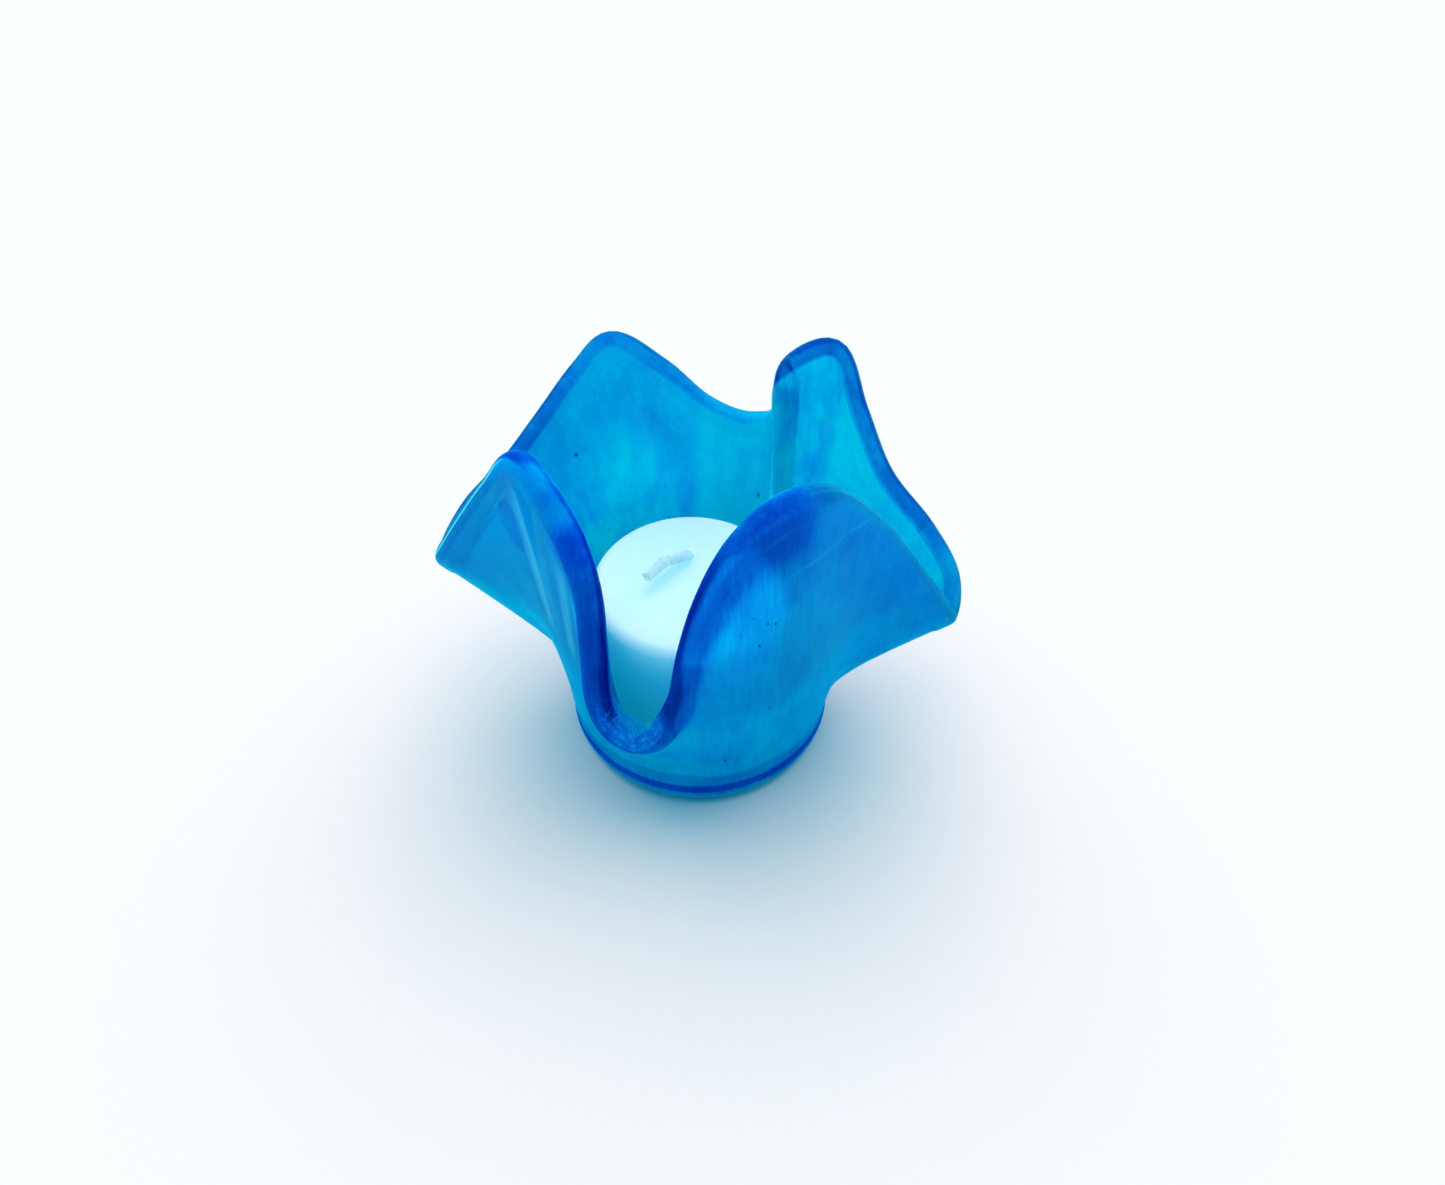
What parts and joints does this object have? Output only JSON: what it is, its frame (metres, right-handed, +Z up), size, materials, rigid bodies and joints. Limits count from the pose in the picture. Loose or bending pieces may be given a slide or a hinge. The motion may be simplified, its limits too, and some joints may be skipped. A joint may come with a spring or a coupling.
{
  "type": "draped glass votive candle holder",
  "caption": "Cup of draped fused glass with a wavy, folded rim and a rounded foot, holding a short votive candle that lifts straight out.",
  "frame": {"origin": "centre of the foot on the surface that it stands on", "axes": "+Z up, -Y towards the front, where the rim dips lowest, +X towards the right wing"},
  "size_m": [0.1047, 0.0713, 0.0807],
  "materials": {
    "glass": "translucent turquoise blue fused glass, fire-polished, with a fine kiln texture",
    "wax": "white candle wax, smooth and slightly translucent; matte_plastic stands for wax",
    "wick": "braided cotton dipped in white wax",
    "tin": "thin bright tinplate"
  },
  "bodies": {
    "holder": {"glass_holder": "glass"},
    "candle": {"candle_wax": "wax", "candle_wick": "wick", "wick_tab": "tin"}
  },
  "joints": [
    {"name": "candle_lift", "type": "slide", "parent": "holder", "child": "candle", "axis": [0, 0, 1], "range_m": [0, 0.09]}
  ]
}
